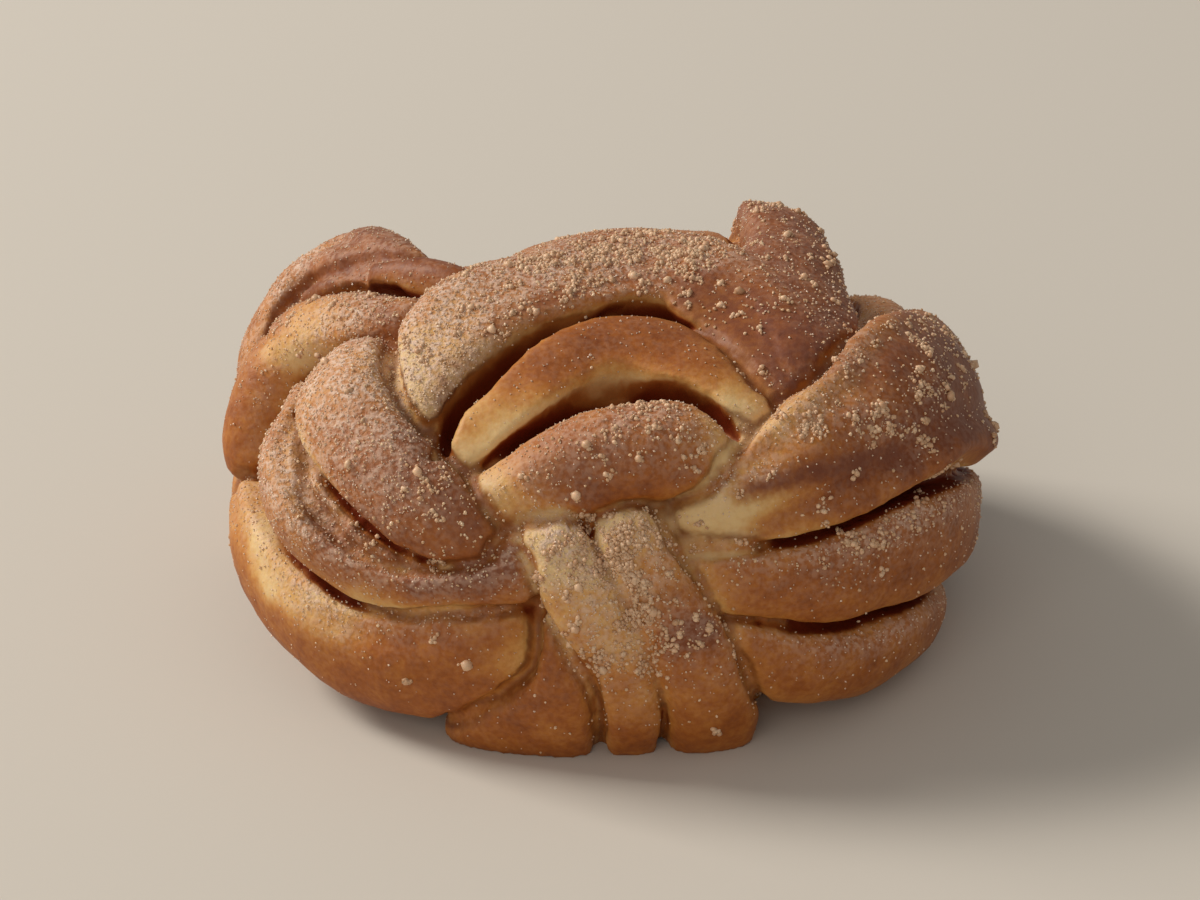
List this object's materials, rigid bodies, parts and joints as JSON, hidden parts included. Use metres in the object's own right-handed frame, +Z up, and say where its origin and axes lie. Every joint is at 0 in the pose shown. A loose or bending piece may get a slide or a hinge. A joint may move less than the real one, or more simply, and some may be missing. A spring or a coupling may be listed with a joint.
{
  "type": "cinnamon babka roll",
  "caption": "Round knot-shaped roll of wound dough strands with deep folds and a light sugar crust, flat underneath.",
  "frame": {"origin": "middle of the bounding box, on the flat base that the roll rests on", "axes": "+Z up, -Y towards the side that the picture shows, +X to that side's right"},
  "size_m": [0.1224, 0.1091, 0.0631],
  "materials": {
    "baked_crust": null
  },
  "bodies": {
    "root": {"babka_roll": "baked_crust"}
  },
  "joints": []
}
